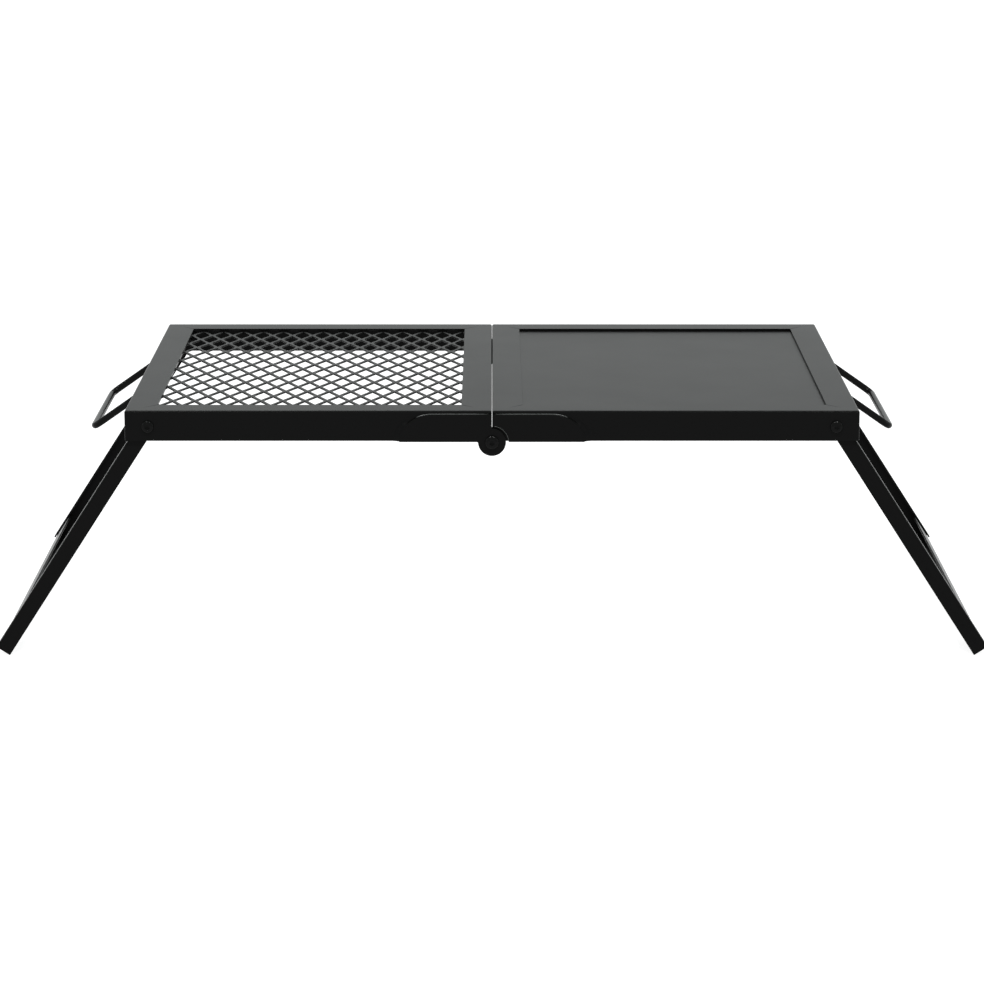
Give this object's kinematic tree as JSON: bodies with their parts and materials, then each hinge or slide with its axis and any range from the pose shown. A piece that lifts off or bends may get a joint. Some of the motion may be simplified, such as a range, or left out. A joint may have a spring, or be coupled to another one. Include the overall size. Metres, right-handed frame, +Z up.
{
  "type": "folding camping grill",
  "caption": "Folding steel camp grill, a mesh grate half hinged to a flat griddle half, on splayed fold-in legs with bent-rod carry handles.",
  "frame": {"origin": "on the ground, below the middle of the open top", "axes": "+Z up, +X from the grate half towards the griddle half, -Y towards the viewer of the picture"},
  "size_m": [0.8356, 0.418, 0.2108],
  "materials": {
    "coated_steel": "satin black heat-proof coating",
    "griddle_steel": "satin black heat-proof coating, smooth",
    "handle_rod": "semi-gloss black coating on bent rod",
    "fastener": "black oxide on steel screws"
  },
  "bodies": {
    "grill_half": {"grill_frame": "coated_steel", "expanded_grate": "coated_steel", "hinge_plate_front": "coated_steel", "hinge_plate_rear": "coated_steel", "leg_screw_left_front": "fastener", "leg_screw_left_rear": "fastener", "leg_washer_left_front": "fastener", "leg_washer_left_rear": "fastener", "leg_nut_left_front": "fastener", "leg_nut_left_rear": "fastener"},
    "hinge_pins": {"hinge_screw_front": "fastener", "hinge_screw_rear": "fastener", "hinge_spacer_front": "fastener", "hinge_spacer_rear": "fastener", "hinge_washer_front": "fastener", "hinge_washer_rear": "fastener", "hinge_nut_front": "fastener", "hinge_nut_rear": "fastener"},
    "griddle_half": {"griddle_frame": "coated_steel", "griddle_plate": "griddle_steel", "hinge_backing_front": "coated_steel", "hinge_backing_rear": "coated_steel", "hinge_lug_front": "coated_steel", "hinge_lug_rear": "coated_steel", "leg_screw_right_front": "fastener", "leg_screw_right_rear": "fastener", "leg_washer_right_front": "fastener", "leg_washer_right_rear": "fastener", "leg_nut_right_front": "fastener", "leg_nut_right_rear": "fastener"},
    "left_leg": {"left_leg_arm_front": "coated_steel", "left_leg_arm_rear": "coated_steel", "left_leg_crossbar": "coated_steel"},
    "right_leg": {"right_leg_arm_front": "coated_steel", "right_leg_arm_rear": "coated_steel", "right_leg_crossbar": "coated_steel"},
    "left_handle": {"left_handle": "handle_rod"},
    "right_handle": {"right_handle": "handle_rod"}
  },
  "joints": [
    {"name": "fold_first_half", "type": "hinge", "parent": "grill_half", "child": "hinge_pins", "pos_m": [0, 0, 0.1847], "axis": [0, 1, 0], "range_deg": [0, 90]},
    {"name": "fold_second_half", "type": "hinge", "parent": "hinge_pins", "child": "griddle_half", "pos_m": [0, 0, 0.1847], "axis": [0, 1, 0], "range_deg": [0, 90]},
    {"name": "left_leg_fold", "type": "hinge", "parent": "grill_half", "child": "left_leg", "pos_m": [-0.2858, 0, 0.1974], "axis": [0, -1, 0], "range_deg": [0, 122.9]},
    {"name": "right_leg_fold", "type": "hinge", "parent": "griddle_half", "child": "right_leg", "pos_m": [0.2858, 0, 0.1974], "axis": [0, 1, 0], "range_deg": [0, 122.9]},
    {"name": "left_handle_lift", "type": "hinge", "parent": "grill_half", "child": "left_handle", "pos_m": [-0.2997, 0, 0.2023], "axis": [0, 1, 0], "range_deg": [0, 35]},
    {"name": "right_handle_lift", "type": "hinge", "parent": "griddle_half", "child": "right_handle", "pos_m": [0.2997, 0, 0.2023], "axis": [0, -1, 0], "range_deg": [0, 35]}
  ],
  "couplings": [
    {"joint": "left_leg_fold", "follows": "fold_first_half", "ratio": 1.3655},
    {"joint": "right_leg_fold", "follows": "fold_first_half", "ratio": 1.3655},
    {"joint": "left_handle_lift", "follows": "fold_second_half", "ratio": 0.3888},
    {"joint": "right_handle_lift", "follows": "fold_second_half", "ratio": 0.3888}
  ]
}
